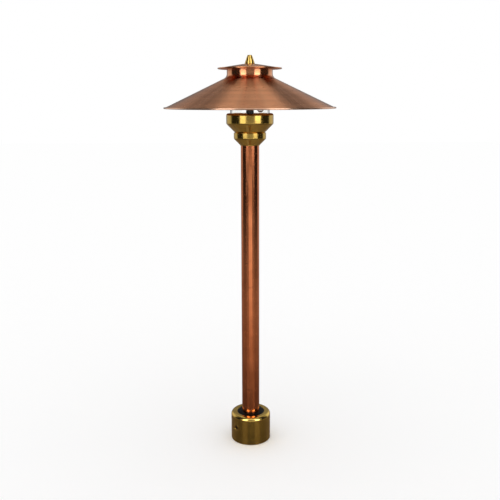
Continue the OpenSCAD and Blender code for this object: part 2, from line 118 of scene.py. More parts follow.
def add(tree, kind, inputs=None, **settings):
    """Adds a node, sets its settings, and fills its inputs by name or number. An input takes a node's
    first output in use, a socket, a colour's hex code or a plain value. A Map Range node's inputs are
    0 value, 1 and 2 the range it comes from, 3 and 4 the range it goes to (0 to 1 if not given). A Mix
    node's are 0 the second colour's share, 6 and 7 the colours."""
    node = tree.nodes.new(kind)
    for name, value in settings.items():
        setattr(node, name, value)
    for key, value in (inputs or {}).items():
        if isinstance(value, bpy.types.Node):
            value = next(out for out in value.outputs if out.enabled)
        if isinstance(value, bpy.types.NodeSocket):
            tree.links.new(value, node.inputs[key])
        else:
            node.inputs[key].default_value = paint(value) if isinstance(value, str) else value
    return node


def new_material(name, **values):
    """A material with one Principled shader, whose even values are set on its own sockets."""
    material = bpy.data.materials.new(name)
    material.use_nodes = True
    tree = material.node_tree
    shader = tree.nodes["Principled BSDF"]
    for key, value in values.items():
        shader.inputs[key.replace("_", " ")].default_value = value
    return material, tree, shader


# ---------------------------------------------------------------- patterns

def turned_coordinates(tree):
    """The place on the piece, the place across the axis, and (radius, 0, height) for marks running round."""
    where = add(tree, "ShaderNodeTexCoord").outputs["Object"]
    parts = add(tree, "ShaderNodeSeparateXYZ", {0: where})
    across = add(tree, "ShaderNodeCombineXYZ", {0: parts.outputs["X"], 1: parts.outputs["Y"]})
    radius = add(tree, "ShaderNodeVectorMath", {0: across.outputs[0]}, operation="LENGTH")
    ring_at = add(tree, "ShaderNodeCombineXYZ", {0: radius.outputs["Value"], 2: parts.outputs["Z"]})
    return where, across.outputs[0], ring_at.outputs[0]


def worn_edges(tree, strength):
    """A share that rises on outer edges, where handling rubs a film thin."""
    ridge = add(tree, "ShaderNodeNewGeometry").outputs["Pointiness"]
    return add(tree, "ShaderNodeMapRange", {0: ridge, 1: 0.5, 2: 0.56, 3: 0.0, 4: strength})


# ---------------------------------------------------------------- materials

def spun_copper():
    """Copper sheet spun on a lathe, weathered for a season: satin, with fine rings that fan highlights
    out from the axis, brighter on the neck where the tool pressed hardest, a brown film in soft clouds,
    faint grey water marks that run down the slope, and rubbed bare metal on the hem, pale also as a
    painted highlight along the rim. A tool's rings are finer than this, and are drawn 0.9 mm wide to show."""
    material, tree, shader = new_material(
        "spun_copper", Metallic=1.0, Roughness=0.3, Anisotropic=1.0, Anisotropic_Rotation=0.25)
    where, across, ring_at = turned_coordinates(tree)
    rings = add(tree, "ShaderNodeTexNoise", {"Vector": ring_at, "Scale": 1 / mm(0.9), "Detail": 3.0})
    bands = add(tree, "ShaderNodeTexNoise", {"Vector": ring_at, "Scale": 1 / mm(7), "Detail": 2.0})
    cloud = add(tree, "ShaderNodeTexNoise", {
        "Vector": where, "Scale": 1 / mm(38), "Detail": 4.0, "Roughness": 0.6})
    speck = add(tree, "ShaderNodeTexNoise", {"Vector": where, "Scale": 1 / mm(3.2), "Detail": 2.0})
    unit = add(tree, "ShaderNodeVectorMath", {0: across}, operation="NORMALIZE").outputs[0]
    # Nine to the radius, so a water mark is a ninth as wide as its distance from the axis.
    runs = add(tree, "ShaderNodeTexNoise", {
        "Vector": unit, "Scale": 9.0, "Detail": 4.0, "Roughness": 0.6})
    tone = add(tree, "ShaderNodeMath", {0: bands.outputs[0], 1: cloud.outputs[0]}).outputs[0]
    film = add(tree, "ShaderNodeMapRange", {0: tone, 1: 0.8, 2: 1.25})
    colour = add(tree, "ShaderNodeMix", {0: film, 6: "#df9b6e", 7: "#cb8b62"}, data_type="RGBA")
    share = add(tree, "ShaderNodeMapRange", {0: runs.outputs[0], 1: 0.5, 2: 0.78, 3: 0.0, 4: 0.3})
    colour = add(tree, "ShaderNodeMix", {0: share, 6: colour, 7: "#b59378"}, data_type="RGBA")
    share = add(tree, "ShaderNodeMapRange", {0: speck.outputs[0], 1: 0.62, 2: 0.75, 3: 0.0, 4: 0.3})
    colour = add(tree, "ShaderNodeMix", {0: share, 6: colour, 7: "#9a6248"}, data_type="RGBA")
    radius = add(tree, "ShaderNodeVectorMath", {0: across}, operation="LENGTH").outputs["Value"]
    # The hem is rubbed bare, and its pale colour is also a painted highlight along the rim.
    rubbed_hem_and_highlight = add(tree, "ShaderNodeMapRange", {0: radius, 1: mm(100.2), 2: mm(101.2), 3: 0.0, 4: 0.8})
    colour = add(tree, "ShaderNodeMix", {0: rubbed_hem_and_highlight, 6: colour, 7: "#ffd2b4"}, data_type="RGBA")
    tree.links.new(colour.outputs[2], shader.inputs["Base Color"])
    uneven = add(tree, "ShaderNodeMath", {0: rings.outputs[0], 1: runs.outputs[0]}).outputs[0]
    gloss = add(tree, "ShaderNodeMapRange", {0: uneven, 1: 0.75, 2: 1.3, 3: 0.26, 4: 0.38})
    pressed = add(tree, "ShaderNodeMapRange", {0: radius, 1: mm(27.5), 2: mm(34), 3: 0.6, 4: 1.0})
    gloss = add(tree, "ShaderNodeMath", {0: gloss, 1: pressed}, operation="MULTIPLY")
    tree.links.new(gloss.outputs[0], shader.inputs["Roughness"])
    ripple = add(tree, "ShaderNodeBump", {
        "Height": runs.outputs[0], "Strength": 0.16, "Distance": mm(0.5)})
    bump = add(tree, "ShaderNodeBump", {
        "Height": rings.outputs[0], "Strength": 0.16, "Distance": mm(0.05), "Normal": ripple.outputs[0]})
    tree.links.new(bump.outputs[0], shader.inputs["Normal"])
    around = add(tree, "ShaderNodeVectorMath", {0: (0, 0, 1), 1: across}, operation="CROSS_PRODUCT")
    tree.links.new(around.outputs[0], shader.inputs["Tangent"])
    return material


def drawn_copper():
    """Drawn copper tube: smooth and bright, with die marks along its length, a light tarnish in patches
    and a few darker spots where water has dried. Die marks are finer than this, and are drawn 0.8 mm
    wide to show."""
    material, tree, shader = new_material("drawn_copper", Metallic=1.0, Roughness=0.14)
    where = add(tree, "ShaderNodeTexCoord").outputs["Object"]
    along = add(tree, "ShaderNodeMapping", {"Vector": where, "Scale": (1.0, 1.0, 0.03)}).outputs[0]
    marks = add(tree, "ShaderNodeTexNoise", {"Vector": along, "Scale": 1 / mm(0.8), "Detail": 3.0})
    cloud = add(tree, "ShaderNodeTexNoise", {"Vector": where, "Scale": 1 / mm(26), "Detail": 4.0})
    spots = add(tree, "ShaderNodeTexNoise", {"Vector": where, "Scale": 1 / mm(4.5), "Detail": 2.0})
    share = add(tree, "ShaderNodeMapRange", {0: cloud.outputs[0], 1: 0.35, 2: 0.65})
    colour = add(tree, "ShaderNodeMix", {0: share, 6: "#e38a5b", 7: "#cd784c"}, data_type="RGBA")
    share = add(tree, "ShaderNodeMapRange", {0: spots.outputs[0], 1: 0.64, 2: 0.74, 3: 0.0, 4: 0.35})
    colour = add(tree, "ShaderNodeMix", {0: share, 6: colour, 7: "#8d4a2c"}, data_type="RGBA")
    tree.links.new(colour.outputs[2], shader.inputs["Base Color"])
    gloss = add(tree, "ShaderNodeMapRange", {0: marks.outputs[0], 1: 0.3, 2: 0.7, 3: 0.11, 4: 0.2})
    tree.links.new(gloss.outputs[0], shader.inputs["Roughness"])
    bump = add(tree, "ShaderNodeBump", {
        "Height": marks.outputs[0], "Strength": 0.06, "Distance": mm(0.05)})
    tree.links.new(bump.outputs[0], shader.inputs["Normal"])
    return material


def turned_brass(name="turned_brass", clean="#dcb75c", film="#c6a04e", rubbed=0.7):
    """Brass bar turned on a lathe and left outdoors: close tool lines round the axis, a brown film that
    has begun to form in patches, and bright metal where edges are rubbed. Tool lines are
    closer than this, and are drawn 0.32 mm wide to show."""
    material, tree, shader = new_material(name, Metallic=1.0, Roughness=0.16)
    where, across, ring_at = turned_coordinates(tree)
    lines = add(tree, "ShaderNodeTexNoise", {"Vector": ring_at, "Scale": 1 / mm(0.32), "Detail": 2.0})
    cloud = add(tree, "ShaderNodeTexNoise", {
        "Vector": where, "Scale": 1 / mm(12), "Detail": 5.0, "Roughness": 0.6})
    speck = add(tree, "ShaderNodeTexNoise", {"Vector": where, "Scale": 1 / mm(1.6), "Detail": 2.0})
    share = add(tree, "ShaderNodeMapRange", {0: cloud.outputs[0], 1: 0.36, 2: 0.66})
    colour = add(tree, "ShaderNodeMix", {0: share, 6: clean, 7: film}, data_type="RGBA")
    share = add(tree, "ShaderNodeMapRange", {0: speck.outputs[0], 1: 0.62, 2: 0.78, 3: 0.0, 4: 0.2})
    colour = add(tree, "ShaderNodeMix", {0: share, 6: colour, 7: "#8f6a2c"}, data_type="RGBA")
    colour = add(tree, "ShaderNodeMix", {
        0: worn_edges(tree, rubbed), 6: colour, 7: "#f2cf7c"}, data_type="RGBA")
    tree.links.new(colour.outputs[2], shader.inputs["Base Color"])
    mixed = add(tree, "ShaderNodeMath", {0: lines.outputs[0], 1: cloud.outputs[0]}).outputs[0]
    gloss = add(tree, "ShaderNodeMapRange", {0: mixed, 1: 0.7, 2: 1.3, 3: 0.12, 4: 0.22})
    tree.links.new(gloss.outputs[0], shader.inputs["Roughness"])
    bump = add(tree, "ShaderNodeBump", {
        "Height": lines.outputs[0], "Strength": 0.04, "Distance": mm(0.03)})
    tree.links.new(bump.outputs[0], shader.inputs["Normal"])
    return material


def moulded_rubber():
    """Moulded EPDM rubber: near black with a soft gloss, a little dust, and a mould texture that is
    drawn at 0.4 mm, coarser than real, to show."""
    material, tree, shader = new_material("moulded_rubber", Roughness=0.5, Specular_IOR_Level=0.1)
    where = add(tree, "ShaderNodeTexCoord").outputs["Object"]
    grain = add(tree, "ShaderNodeTexNoise", {"Vector": where, "Scale": 1 / mm(0.4), "Detail": 2.0})
    dust = add(tree, "ShaderNodeTexNoise", {"Vector": where, "Scale": 1 / mm(7), "Detail": 4.0})
    share = add(tree, "ShaderNodeMapRange", {0: dust.outputs[0], 1: 0.5, 2: 0.72, 3: 0.0, 4: 0.5})
    colour = add(tree, "ShaderNodeMix", {0: share, 6: "#080604", 7: "#16120e"}, data_type="RGBA")
    tree.links.new(colour.outputs[2], shader.inputs["Base Color"])
    gloss = add(tree, "ShaderNodeMapRange", {0: dust.outputs[0], 1: 0.35, 2: 0.7, 3: 0.24, 4: 0.5})
    tree.links.new(gloss.outputs[0], shader.inputs["Roughness"])
    bump = add(tree, "ShaderNodeBump", {
        "Height": grain.outputs[0], "Strength": 0.12, "Distance": mm(0.05)})
    tree.links.new(bump.outputs[0], shader.inputs["Normal"])
    return material


def silicone_seal():
    """Cut silicone sheet: matte red-brown with a faint grain."""
    material, tree, shader = new_material("silicone_seal", Roughness=0.65)
    where = add(tree, "ShaderNodeTexCoord").outputs["Object"]
    grain = add(tree, "ShaderNodeTexNoise", {"Vector": where, "Scale": 1 / mm(0.5), "Detail": 3.0})
    share = add(tree, "ShaderNodeMapRange", {0: grain.outputs[0], 1: 0.3, 2: 0.7})
    colour = add(tree, "ShaderNodeMix", {0: share, 6: "#7c3325", 7: "#94432f"}, data_type="RGBA")
    tree.links.new(colour.outputs[2], shader.inputs["Base Color"])
    bump = add(tree, "ShaderNodeBump", {
        "Height": grain.outputs[0], "Strength": 0.2, "Distance": mm(0.06)})
    tree.links.new(bump.outputs[0], shader.inputs["Normal"])
    return material


def black_coat():
    """Baked black coat on a metal tube: matte and slightly uneven, with a brown bloom in small patches."""
    material, tree, shader = new_material("black_coat", Roughness=0.5, Specular_IOR_Level=0.08)
    where = add(tree, "ShaderNodeTexCoord").outputs["Object"]
    cells = add(tree, "ShaderNodeTexNoise", {"Vector": where, "Scale": 1 / mm(0.7), "Detail": 3.0})
    bloom = add(tree, "ShaderNodeTexNoise", {"Vector": where, "Scale": 1 / mm(3.5), "Detail": 4.0})
    patches = add(tree, "ShaderNodeMapRange", {0: bloom.outputs[0], 1: 0.56, 2: 0.7})
    colour = add(tree, "ShaderNodeMix", {0: patches, 6: "#0a0807", 7: "#1d1510"}, data_type="RGBA")
    tree.links.new(colour.outputs[2], shader.inputs["Base Color"])
    gloss = add(tree, "ShaderNodeMapRange", {0: cells.outputs[0], 1: 0.3, 2: 0.7, 3: 0.4, 4: 0.6})
    tree.links.new(gloss.outputs[0], shader.inputs["Roughness"])
    bump = add(tree, "ShaderNodeBump", {
        "Height": cells.outputs[0], "Strength": 0.15, "Distance": mm(0.05)})
    tree.links.new(bump.outputs[0], shader.inputs["Normal"])
    return material


def zinc_plate():
    """Zinc-plated steel: cool bright grey with a soft yellow cast, and handling scratches that are drawn
    0.4 mm wide, coarser than real, to show."""
    material, tree, shader = new_material("zinc_plate", Metallic=1.0, Roughness=0.3)
    where = add(tree, "ShaderNodeTexCoord").outputs["Object"]
    cast = add(tree, "ShaderNodeTexNoise", {"Vector": where, "Scale": 1 / mm(5), "Detail": 2.0})
    streak = add(tree, "ShaderNodeMapping", {
        "Vector": where, "Rotation": (0.4, 0.3, 0.9), "Scale": (1.0, 0.06, 1.0)}).outputs[0]
    scratch = add(tree, "ShaderNodeTexNoise", {"Vector": streak, "Scale": 1 / mm(0.4), "Detail": 2.0})
    share = add(tree, "ShaderNodeMapRange", {0: cast.outputs[0], 1: 0.35, 2: 0.65})
    colour = add(tree, "ShaderNodeMix", {0: share, 6: "#b4b9bf", 7: "#c4bfae"}, data_type="RGBA")
    tree.links.new(colour.outputs[2], shader.inputs["Base Color"])
    gloss = add(tree, "ShaderNodeMapRange", {0: scratch.outputs[0], 1: 0.35, 2: 0.65, 3: 0.22, 4: 0.4})
    tree.links.new(gloss.outputs[0], shader.inputs["Roughness"])
    bump = add(tree, "ShaderNodeBump", {
        "Height": scratch.outputs[0], "Strength": 0.1, "Distance": mm(0.03)})
    tree.links.new(bump.outputs[0], shader.inputs["Normal"])
    return material


def black_oxide():
    """Black-oxide steel: dark and oily, with bare grey steel on the rubbed edges of its sockets."""
    material, tree, shader = new_material("black_oxide", Metallic=1.0, Roughness=0.36)
    where = add(tree, "ShaderNodeTexCoord").outputs["Object"]
    bloom = add(tree, "ShaderNodeTexNoise", {"Vector": where, "Scale": 1 / mm(1.5), "Detail": 3.0})
    share = add(tree, "ShaderNodeMapRange", {0: bloom.outputs[0], 1: 0.35, 2: 0.65})
    colour = add(tree, "ShaderNodeMix", {0: share, 6: "#2b2825", 7: "#413a32"}, data_type="RGBA")
    colour = add(tree, "ShaderNodeMix", {
        0: worn_edges(tree, 0.6), 6: colour, 7: "#8d857a"}, data_type="RGBA")
    tree.links.new(colour.outputs[2], shader.inputs["Base Color"])
    gloss = add(tree, "ShaderNodeMapRange", {0: bloom.outputs[0], 1: 0.3, 2: 0.7, 3: 0.3, 4: 0.5})
    tree.links.new(gloss.outputs[0], shader.inputs["Roughness"])
    return material


def tungsten():
    """Drawn tungsten wire: dark grey metal with a dull burnt surface."""
    material, tree, shader = new_material("tungsten", Metallic=1.0, Roughness=0.45)
    where = add(tree, "ShaderNodeTexCoord").outputs["Object"]
    burn = add(tree, "ShaderNodeTexNoise", {"Vector": where, "Scale": 1 / mm(0.3), "Detail": 2.0})
    share = add(tree, "ShaderNodeMapRange", {0: burn.outputs[0], 1: 0.35, 2: 0.65})
    colour = add(tree, "ShaderNodeMix", {0: share, 6: "#5c5955", 7: "#77726b"}, data_type="RGBA")
    tree.links.new(colour.outputs[2], shader.inputs["Base Color"])
    return material


def steatite():
    """Pressed and fired steatite, unglazed: warm white, chalky, with fine pores."""
    material, tree, shader = new_material("steatite", Roughness=0.7)
    where = add(tree, "ShaderNodeTexCoord").outputs["Object"]
    pores = add(tree, "ShaderNodeTexNoise", {"Vector": where, "Scale": 1 / mm(0.35), "Detail": 3.0})
    stain = add(tree, "ShaderNodeTexNoise", {"Vector": where, "Scale": 1 / mm(5), "Detail": 3.0})
    share = add(tree, "ShaderNodeMapRange", {0: stain.outputs[0], 1: 0.4, 2: 0.7})
    colour = add(tree, "ShaderNodeMix", {0: share, 6: "#e9e2d2", 7: "#d8cdb8"}, data_type="RGBA")
    share = add(tree, "ShaderNodeMapRange", {0: pores.outputs[0], 1: 0.66, 2: 0.72, 3: 0.0, 4: 0.5})
    colour = add(tree, "ShaderNodeMix", {0: share, 6: colour, 7: "#a99c86"}, data_type="RGBA")
    tree.links.new(colour.outputs[2], shader.inputs["Base Color"])
    bump = add(tree, "ShaderNodeBump", {
        "Height": pores.outputs[0], "Strength": 0.25, "Distance": mm(0.06)})
    tree.links.new(bump.outputs[0], shader.inputs["Normal"])
    return material


def glass_fibre_sleeve():
    """Woven glass-fibre sleeve: off-white, with a braid of crossing bundles, painted darker between them as
    shade and paler on their crests as painted light.
    """
    material, tree, shader = new_material("glass_fibre_sleeve", Roughness=0.75)
    where = add(tree, "ShaderNodeTexCoord").outputs["Object"]
    heights = []
    # The bundles are drawn 0.5 mm apart, coarser than a real braid's, to show. A wave at scale 1 is
    # 0.31 m long.
    for lean in (0.7, -0.7):
        leaning = add(tree, "ShaderNodeMapping", {"Vector": where, "Rotation": (lean, lean, 0)})
        wave = add(tree, "ShaderNodeTexWave", {
            "Vector": leaning, "Scale": 0.31 / mm(0.5), "Distortion": 0.4}, bands_direction="Z")
        heights.append(wave.outputs["Fac"])
    braid = add(tree, "ShaderNodeMath", {0: heights[0], 1: heights[1]}, operation="MAXIMUM").outputs[0]
    # The braid's height sets the colour: painted shade between the bundles, and paler crests where light
    # would catch them.
    colour = add(tree, "ShaderNodeMix", {0: braid, 6: "#b9b2a2", 7: "#efeadd"}, data_type="RGBA")
    tree.links.new(colour.outputs[2], shader.inputs["Base Color"])
    bump = add(tree, "ShaderNodeBump", {"Height": braid, "Strength": 0.5, "Distance": mm(0.1)})
    tree.links.new(bump.outputs[0], shader.inputs["Normal"])
    return material


def moulded_nylon():
    """Moulded blue nylon: an even satin skin with slight flow marks from the mould."""
    material, tree, shader = new_material("moulded_nylon", Roughness=0.4)
    where = add(tree, "ShaderNodeTexCoord").outputs["Object"]
    flow = add(tree, "ShaderNodeTexNoise", {
        "Vector": where, "Scale": 1 / mm(4), "Detail": 2.0, "Distortion": 0.8})
    colour = add(tree, "ShaderNodeMix", {
        0: flow.outputs[0], 6: "#20356a", 7: "#2b4480"}, data_type="RGBA")
    tree.links.new(colour.outputs[2], shader.inputs["Base Color"])
    gloss = add(tree, "ShaderNodeMapRange", {0: flow.outputs[0], 1: 0.3, 2: 0.7, 3: 0.34, 4: 0.48})
    tree.links.new(gloss.outputs[0], shader.inputs["Roughness"])
    return material


def soda_glass(name="soda_glass", tint="#fbfdfb", index=1.5):
    """Clear drawn glass tube: polished, with a breath of the given tint and faint dust that softens its
    shine in places. Quartz glass is the same with a lower index."""
    material, tree, shader = new_material(
        name, Transmission_Weight=1.0, IOR=index, Roughness=0.0, Specular_IOR_Level=0.2)
    where = add(tree, "ShaderNodeTexCoord").outputs["Object"]
    dust = add(tree, "ShaderNodeTexNoise", {"Vector": where, "Scale": 1 / mm(9), "Detail": 4.0})
    gloss = add(tree, "ShaderNodeMapRange", {0: dust.outputs[0], 1: 0.5, 2: 0.75, 3: 0.0, 4: 0.06})
    tree.links.new(gloss.outputs[0], shader.inputs["Roughness"])
    colour = add(tree, "ShaderNodeMix", {0: dust.outputs[0], 6: "#ffffff", 7: tint}, data_type="RGBA")
    tree.links.new(colour.outputs[2], shader.inputs["Base Color"])
    return material


# ---------------------------------------------------------------- trees that make pieces

def new_tree(name, sizes):
    """A geometry tree with a geometry input, named size inputs and a geometry output."""
    tree = bpy.data.node_groups.new(name, "GeometryNodeTree")
    tree.interface.new_socket("Geometry", in_out="INPUT", socket_type="NodeSocketGeometry")
    for label, kind in sizes.items():
        tree.interface.new_socket(label, in_out="INPUT", socket_type=kind)
    tree.interface.new_socket("Geometry", in_out="OUTPUT", socket_type="NodeSocketGeometry")
    return tree, add(tree, "NodeGroupInput").outputs


def end_tree(tree, geometry, finish):
    """Ends a tree with real geometry that carries its material."""
    real = add(tree, "GeometryNodeRealizeInstances", {0: geometry})
    coated = add(tree, "GeometryNodeSetMaterial", {"Geometry": real.outputs[0], "Material": finish})
    add(tree, "NodeGroupOutput", {0: coated.outputs[0]})


def lathe_tree():
    """Rounds the corners of a drawn outline, each by its point's radius, and turns it round the upright
    axis. The outline runs round a circle of 1 mm radius, so it is drawn 1 mm nearer the axis."""
    tree, given = new_tree("turn_on_lathe", {
        "Steps round": "NodeSocketInt", "Steps in a corner": "NodeSocketInt",
        "Finish": "NodeSocketMaterial"})
    softness = add(tree, "GeometryNodeInputRadius").outputs[0]
    outline = add(tree, "GeometryNodeFilletCurve", {
        "Curve": given["Geometry"], "Radius": softness, "Limit Radius": True,
        "Count": given["Steps in a corner"]}, mode="POLY")
    circle = add(tree, "GeometryNodeCurvePrimitiveCircle", {
        "Resolution": given["Steps round"], "Radius": mm(1)})
    upright = add(tree, "GeometryNodeSetCurveNormal", {"Curve": circle.outputs[0]}, mode="Z_UP")
    turned = add(tree, "GeometryNodeCurveToMesh", {
        "Curve": upright.outputs[0], "Profile Curve": outline.outputs[0]})
    outward = add(tree, "GeometryNodeFlipFaces", {"Mesh": turned.outputs[0]})
    closed = add(tree, "GeometryNodeMergeByDistance", {
        "Geometry": outward.outputs[0], "Distance": mm(0.002)})
    end_tree(tree, closed.outputs[0], given["Finish"])
    return tree


def thread_tree():
    """A solid core with a ridge that climbs round it, as a screw's thread does."""
    tree, given = new_tree("cut_thread", {
        "Core radius": "NodeSocketFloat", "Crest radius": "NodeSocketFloat", "Pitch": "NodeSocketFloat",
        "Length": "NodeSocketFloat", "Foot": "NodeSocketFloat", "Finish": "NodeSocketMaterial"})
    turns = add(tree, "ShaderNodeMath", {
        0: given["Length"], 1: given["Pitch"]}, operation="DIVIDE").outputs[0]
    helix = add(tree, "GeometryNodeCurveSpiral", {
        "Resolution": 28, "Rotations": turns, "Start Radius": given["Core radius"],
        "End Radius": given["Core radius"], "Height": given["Length"]})
    upright = add(tree, "GeometryNodeSetCurveNormal", {"Curve": helix.outputs[0]}, mode="Z_UP")
    depth = add(tree, "ShaderNodeMath", {
        0: given["Crest radius"], 1: given["Core radius"]}, operation="SUBTRACT").outputs[0]
    half = add(tree, "ShaderNodeMath", {0: given["Pitch"], 1: 0.46}, operation="MULTIPLY").outputs[0]
    minus = add(tree, "ShaderNodeMath", {0: half, 1: -1.0}, operation="MULTIPLY").outputs[0]
    root = add(tree, "ShaderNodeMath", {0: depth, 1: -0.3}, operation="MULTIPLY").outputs[0]
    low = add(tree, "ShaderNodeCombineXYZ", {0: root, 1: half}).outputs[0]
    tip = add(tree, "ShaderNodeCombineXYZ", {0: depth}).outputs[0]
    high = add(tree, "ShaderNodeCombineXYZ", {0: root, 1: minus}).outputs[0]
    tooth = add(tree, "GeometryNodeCurvePrimitiveQuadrilateral", {
        "Point 1": low, "Point 2": tip, "Point 3": high, "Point 4": low}, mode="POINTS")
    ridge = add(tree, "GeometryNodeCurveToMesh", {
        "Curve": upright.outputs[0], "Profile Curve": tooth.outputs[0], "Fill Caps": True})
    merged = add(tree, "GeometryNodeMergeByDistance", {
        "Geometry": ridge.outputs[0], "Distance": mm(0.002)})
    middle = add(tree, "ShaderNodeMath", {0: given["Length"], 1: 0.5}, operation="MULTIPLY").outputs[0]
    core = add(tree, "GeometryNodeMeshCylinder", {
        "Vertices": 48, "Radius": given["Core radius"], "Depth": given["Length"]})
    raised = add(tree, "GeometryNodeTransform", {
        "Geometry": core.outputs[0], "Translation": add(tree, "ShaderNodeCombineXYZ", {2: middle})})
    both = add(tree, "GeometryNodeJoinGeometry", {0: merged.outputs[0]})
    tree.links.new(raised.outputs[0], both.inputs[0])
    placed = add(tree, "GeometryNodeTransform", {
        "Geometry": both.outputs[0],
        "Translation": add(tree, "ShaderNodeCombineXYZ", {2: given["Foot"]})})
    end_tree(tree, placed.outputs[0], given["Finish"])
    return tree


def wire_tree():
    """Runs a round wire along a drawn path, with every bend eased."""
    tree, given = new_tree("bend_wire", {
        "Wire radius": "NodeSocketFloat", "Bend radius": "NodeSocketFloat", "Finish": "NodeSocketMaterial"})
    eased = add(tree, "GeometryNodeFilletCurve", {
        "Curve": given["Geometry"], "Radius": given["Bend radius"], "Limit Radius": True, "Count": 6},
        mode="POLY")
    section = add(tree, "GeometryNodeCurvePrimitiveCircle", {
        "Resolution": 16, "Radius": given["Wire radius"]})
    wire = add(tree, "GeometryNodeCurveToMesh", {
        "Curve": eased.outputs[0], "Profile Curve": section.outputs[0], "Fill Caps": True})
    end_tree(tree, wire.outputs[0], given["Finish"])
    return tree


def coil_tree():
    """Winds a fine wire into a level coil between its two legs, and joins the legs to it."""
    tree, given = new_tree("wind_filament", {
        "Wire radius": "NodeSocketFloat", "Coil radius": "NodeSocketFloat",
        "Coil length": "NodeSocketFloat", "Turns": "NodeSocketFloat", "Finish": "NodeSocketMaterial"})
    helix = add(tree, "GeometryNodeCurveSpiral", {
        "Resolution": 16, "Rotations": given["Turns"], "Start Radius": given["Coil radius"],
        "End Radius": given["Coil radius"], "Height": given["Coil length"]})
    back = add(tree, "ShaderNodeMath", {0: given["Coil length"], 1: 0.5}, operation="MULTIPLY").outputs[0]
    level = add(tree, "GeometryNodeTransform", {
        "Geometry": helix.outputs[0], "Rotation": (math.radians(90), 0, 0),
        "Translation": add(tree, "ShaderNodeCombineXYZ", {0: mm(LAMP_X), 1: back, 2: mm(COIL_Z)})})
    section = add(tree, "GeometryNodeCurvePrimitiveCircle", {
        "Resolution": 8, "Radius": given["Wire radius"]})
    both = add(tree, "GeometryNodeJoinGeometry", {0: level.outputs[0]})
    tree.links.new(given["Geometry"], both.inputs[0])
    wire = add(tree, "GeometryNodeCurveToMesh", {
        "Curve": both.outputs[0], "Profile Curve": section.outputs[0], "Fill Caps": True})
    end_tree(tree, wire.outputs[0], given["Finish"])
    return tree


# ---------------------------------------------------------------- making pieces

def drawn(name, points, closed):
    """A curve object through points of (x, y, z, softness of the corner), all in metres."""
    curve = bpy.data.curves.new(name, "CURVE")
    curve.dimensions = "3D"
    line = curve.splines.new("POLY")
    line.points.add(len(points) - 1)
    line.use_cyclic_u = closed
    for spot, (x, y, z, soft) in zip(line.points, points):
        spot.co = (x, y, z, 1)
        spot.radius = soft
    piece = bpy.data.objects.new(name, curve)
    bpy.context.scene.collection.objects.link(piece)
    return piece


def run_tree(piece, tree, sizes):
    """Gives the piece a tree with its sizes, and returns a plain mesh object of the result."""
    by_label = {item.name: item.identifier for item in tree.interface.items_tree if item.in_out == "INPUT"}
    maker = piece.modifiers.new("maker", "NODES")
    maker.node_group = tree
    for label, value in sizes.items():
        maker[by_label[label]] = value
    return settled(piece)


def settled(piece):
    """Turns what the piece's modifiers make into a plain mesh object of the same name."""
    seen = piece.evaluated_get(bpy.context.evaluated_depsgraph_get())
    mesh = bpy.data.meshes.new_from_object(seen)
    name = piece.name
    old = piece.data
    bpy.data.objects.remove(piece)
    if isinstance(old, bpy.types.Curve):
        bpy.data.curves.remove(old)
    mesh.name = name
    result = bpy.data.objects.new(name, mesh)
    bpy.context.scene.collection.objects.link(result)
    return result


def smooth(piece, angle=32):
    """Smooth shading that keeps flat faces flat beside their small rounded edges."""
    piece.data.shade_smooth()
    piece.data.set_sharp_from_angle(angle=math.radians(angle))
    even = piece.modifiers.new("even", "WEIGHTED_NORMAL")
    even.keep_sharp = True
    even.weight = 100
    return settled(piece)


def turned(name, outline, finish, steps=144, corner=5):
    """A piece turned on the lathe from (radius, height, corner radius) in millimetres, anticlockwise."""
    points = [(mm(r - 1), mm(-z), 0, mm(soft)) for r, z, soft in outline]
    return run_tree(drawn(name, points, True), LATHE, {
        "Steps round": steps, "Steps in a corner": corner, "Finish": finish})


def fit(piece, body, slot, *nodes):
    """Says what the piece rides on and which CAD nodes it stands for; the slot, its finish, is not used."""
    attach(piece, body)
    if nodes:
        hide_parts(*nodes)


def screw_cutter():
    """A drill with a small countersink that opens the set screw's hole in the hub's side."""
    start = 10.8
    sink = 14.1
    reach = 16.5
    outline = [
        (0, 0, 0), (SCREW_HOLE_R, 0, 0), (SCREW_HOLE_R, sink, 0), (SCREW_HOLE_R + 2.4, reach, 0),
        (0, reach, 0)]
    drill = turned("drill", outline, None, steps=48, corner=1)
    drill.data.transform(Matrix.Rotation(math.radians(90), 4, "Y"))
    drill.data.transform(Matrix.Translation((mm(start), 0, mm(SCREW_Z))))
    drill.data.transform(Matrix.Rotation(math.radians(SCREW_AZIMUTH), 4, "Z"))
    return drill


def make_hub(brass):
    """The hub with its shoulder, its recess for the grommet and its holes for stem, stake and screw."""
    outline = [
        (STAKE_R + HUB_CHAMFER, 0, 0.1), (HUB_R - HUB_CHAMFER, 0, 0.3), (HUB_R, HUB_CHAMFER, 0.3),
        (HUB_R, HUB_H, 4.0), (GROMMET_R, HUB_H, 0.35), (GROMMET_R, RECESS_Z, 0.2),
        (STEM_HOLE_R, RECESS_Z, 0.1), (STEM_HOLE_R, STEM_FOOT, 0), (STAKE_R, STEM_FOOT, 0),
        (STAKE_R, HUB_CHAMFER, 0)]
    hub = turned("brass_hub", outline, brass, corner=7)
    drill = screw_cutter()
    cut = hub.modifiers.new("drill", "BOOLEAN")
    cut.object = drill
    cut.solver = "EXACT"
    hub = settled(hub)
    bpy.data.objects.remove(drill)
    fit(smooth(hub), "base", "brass", "hub")


